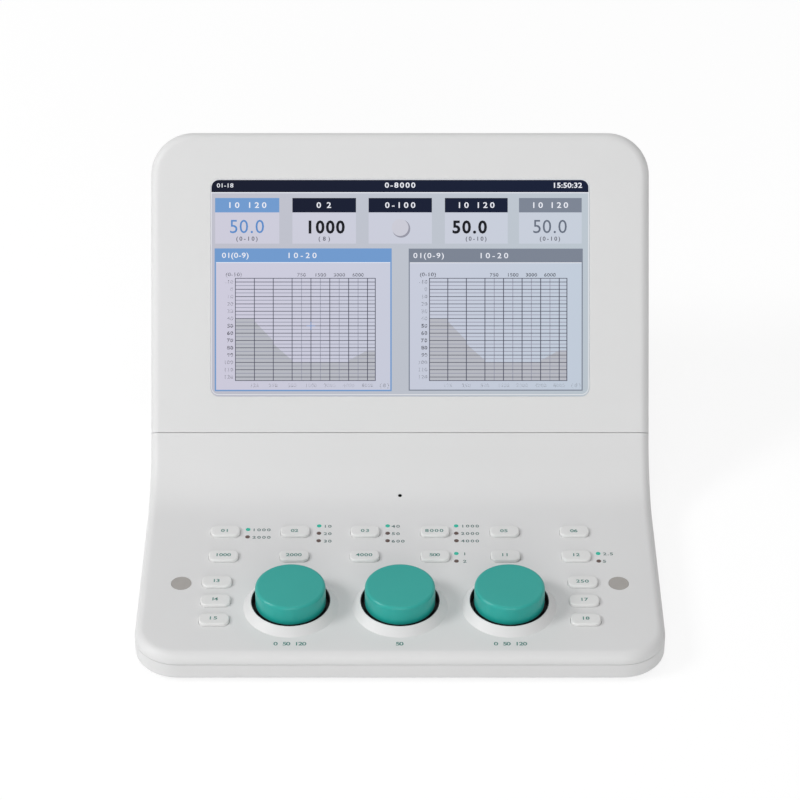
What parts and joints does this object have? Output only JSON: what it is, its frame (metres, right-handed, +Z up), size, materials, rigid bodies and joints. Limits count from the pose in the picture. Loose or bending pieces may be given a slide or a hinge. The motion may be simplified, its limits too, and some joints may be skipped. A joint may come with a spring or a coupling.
{
  "type": "audiometer",
  "caption": "Desk audiometer with a low deck of dials and keys that sweeps up into a leaning touch screen, and phone jacks in a bay at the back.",
  "frame": {"origin": "middle of the whole outline seen from above, at table height", "axes": "+X to the operator's right, +Y from the front edge to the back, +Z up"},
  "size_m": [0.2926, 0.291, 0.1848],
  "materials": {
    "housing": "fine matt moulding",
    "dial": "satin coloured moulding",
    "key": "fine matt moulding",
    "screen": "clear hard coating over a lit display",
    "rubber": "soft black",
    "screw_steel": "zinc plated",
    "plated_steel": "tin plated",
    "encoder_metal": "turned",
    "black_steel": "black powder coat",
    "circuit_board": "green solder mask",
    "black_plastic": "black moulding",
    "lamp_lit": "clear light pipe, lit green",
    "lamp_dark": "clear light pipe, unlit",
    "pad": "conductive grey plastic",
    "contact_brass": "plated",
    "ribbon": "flat white cable"
  },
  "bodies": {
    "instrument": {"base_tray": "housing", "deck_cover": "housing", "screen_frame": "housing", "rear_housing": "housing", "rubber_feet": "rubber", "housing_screws": "screw_steel", "head_screws": "screw_steel", "touch_panel": "screen", "lcd_module": "plated_steel", "lcd_rails": "plated_steel", "display_board": "circuit_board", "display_ribbon": "ribbon", "encoder_bodies": "encoder_metal", "encoder_nuts": "screw_steel", "encoder_bracket": "black_steel", "tact_switches": "black_plastic", "key_board": "circuit_board", "board_screws": "screw_steel", "lamps_lit": "lamp_lit", "lamps_dark": "lamp_dark", "lamp_chips": "ribbon", "touch_pads": "pad", "pad_contacts": "contact_brass", "talk_microphone": "plated_steel", "monitor_speaker": "black_plastic", "main_board": "circuit_board", "shield_can": "plated_steel", "key_ribbon": "ribbon", "connector_panel": "black_steel", "panel_screws": "screw_steel", "phone_jacks": "black_plastic", "usb_socket": "plated_steel", "dc_socket": "black_plastic", "rocker_frame": "black_plastic"},
    "dial_left": {"knob_left": "dial", "shaft_left": "encoder_metal"},
    "dial_centre": {"knob_centre": "dial", "shaft_centre": "encoder_metal"},
    "dial_right": {"knob_right": "dial", "shaft_right": "encoder_metal"},
    "body_key_back_1": {"key_back_1": "key"},
    "body_key_back_2": {"key_back_2": "key"},
    "body_key_back_3": {"key_back_3": "key"},
    "body_key_back_4": {"key_back_4": "key"},
    "body_key_back_5": {"key_back_5": "key"},
    "body_key_back_6": {"key_back_6": "key"},
    "body_key_front_1": {"key_front_1": "key"},
    "body_key_front_2": {"key_front_2": "key"},
    "body_key_front_3": {"key_front_3": "key"},
    "body_key_front_4": {"key_front_4": "key"},
    "body_key_front_5": {"key_front_5": "key"},
    "body_key_front_6": {"key_front_6": "key"},
    "body_key_left_1": {"key_left_1": "key"},
    "body_key_left_2": {"key_left_2": "key"},
    "body_key_left_3": {"key_left_3": "key"},
    "body_key_right_1": {"key_right_1": "key"},
    "body_key_right_2": {"key_right_2": "key"},
    "body_key_right_3": {"key_right_3": "key"},
    "rocker": {"power_rocker": "black_plastic"}
  },
  "joints": [
    {"name": "dial_left_turn", "type": "hinge", "parent": "instrument", "child": "dial_left", "pos_m": [-0.0606, -0.10393, 0.025], "axis": [0, 0, 1], "continuous": true},
    {"name": "dial_centre_turn", "type": "hinge", "parent": "instrument", "child": "dial_centre", "pos_m": [0, -0.10393, 0.025], "axis": [0, 0, 1], "continuous": true},
    {"name": "dial_right_turn", "type": "hinge", "parent": "instrument", "child": "dial_right", "pos_m": [0.0606, -0.10393, 0.025], "axis": [0, 0, 1], "continuous": true},
    {"name": "key_back_1_press", "type": "slide", "parent": "instrument", "child": "body_key_back_1", "axis": [0, 0, -1], "range_m": [0, 0.0008], "stiffness_N_per_m": 300, "springref_m": -0.001},
    {"name": "key_back_2_press", "type": "slide", "parent": "instrument", "child": "body_key_back_2", "axis": [0, 0, -1], "range_m": [0, 0.0008], "stiffness_N_per_m": 300, "springref_m": -0.001},
    {"name": "key_back_3_press", "type": "slide", "parent": "instrument", "child": "body_key_back_3", "axis": [0, 0, -1], "range_m": [0, 0.0008], "stiffness_N_per_m": 300, "springref_m": -0.001},
    {"name": "key_back_4_press", "type": "slide", "parent": "instrument", "child": "body_key_back_4", "axis": [0, 0, -1], "range_m": [0, 0.0008], "stiffness_N_per_m": 300, "springref_m": -0.001},
    {"name": "key_back_5_press", "type": "slide", "parent": "instrument", "child": "body_key_back_5", "axis": [0, 0, -1], "range_m": [0, 0.0008], "stiffness_N_per_m": 300, "springref_m": -0.001},
    {"name": "key_back_6_press", "type": "slide", "parent": "instrument", "child": "body_key_back_6", "axis": [0, 0, -1], "range_m": [0, 0.0008], "stiffness_N_per_m": 300, "springref_m": -0.001},
    {"name": "key_front_1_press", "type": "slide", "parent": "instrument", "child": "body_key_front_1", "axis": [0, 0, -1], "range_m": [0, 0.0008], "stiffness_N_per_m": 300, "springref_m": -0.001},
    {"name": "key_front_2_press", "type": "slide", "parent": "instrument", "child": "body_key_front_2", "axis": [0, 0, -1], "range_m": [0, 0.0008], "stiffness_N_per_m": 300, "springref_m": -0.001},
    {"name": "key_front_3_press", "type": "slide", "parent": "instrument", "child": "body_key_front_3", "axis": [0, 0, -1], "range_m": [0, 0.0008], "stiffness_N_per_m": 300, "springref_m": -0.001},
    {"name": "key_front_4_press", "type": "slide", "parent": "instrument", "child": "body_key_front_4", "axis": [0, 0, -1], "range_m": [0, 0.0008], "stiffness_N_per_m": 300, "springref_m": -0.001},
    {"name": "key_front_5_press", "type": "slide", "parent": "instrument", "child": "body_key_front_5", "axis": [0, 0, -1], "range_m": [0, 0.0008], "stiffness_N_per_m": 300, "springref_m": -0.001},
    {"name": "key_front_6_press", "type": "slide", "parent": "instrument", "child": "body_key_front_6", "axis": [0, 0, -1], "range_m": [0, 0.0008], "stiffness_N_per_m": 300, "springref_m": -0.001},
    {"name": "key_left_1_press", "type": "slide", "parent": "instrument", "child": "body_key_left_1", "axis": [0, 0, -1], "range_m": [0, 0.0008], "stiffness_N_per_m": 300, "springref_m": -0.001},
    {"name": "key_left_2_press", "type": "slide", "parent": "instrument", "child": "body_key_left_2", "axis": [0, 0, -1], "range_m": [0, 0.0008], "stiffness_N_per_m": 300, "springref_m": -0.001},
    {"name": "key_left_3_press", "type": "slide", "parent": "instrument", "child": "body_key_left_3", "axis": [0, 0, -1], "range_m": [0, 0.0008], "stiffness_N_per_m": 300, "springref_m": -0.001},
    {"name": "key_right_1_press", "type": "slide", "parent": "instrument", "child": "body_key_right_1", "axis": [0, 0, -1], "range_m": [0, 0.0008], "stiffness_N_per_m": 300, "springref_m": -0.001},
    {"name": "key_right_2_press", "type": "slide", "parent": "instrument", "child": "body_key_right_2", "axis": [0, 0, -1], "range_m": [0, 0.0008], "stiffness_N_per_m": 300, "springref_m": -0.001},
    {"name": "key_right_3_press", "type": "slide", "parent": "instrument", "child": "body_key_right_3", "axis": [0, 0, -1], "range_m": [0, 0.0008], "stiffness_N_per_m": 300, "springref_m": -0.001},
    {"name": "power_rocker_tilt", "type": "hinge", "parent": "instrument", "child": "rocker", "pos_m": [0.0789, 0.08846, 0.0301], "axis": [-1, 0, 0], "range_deg": [0, 16]}
  ]
}
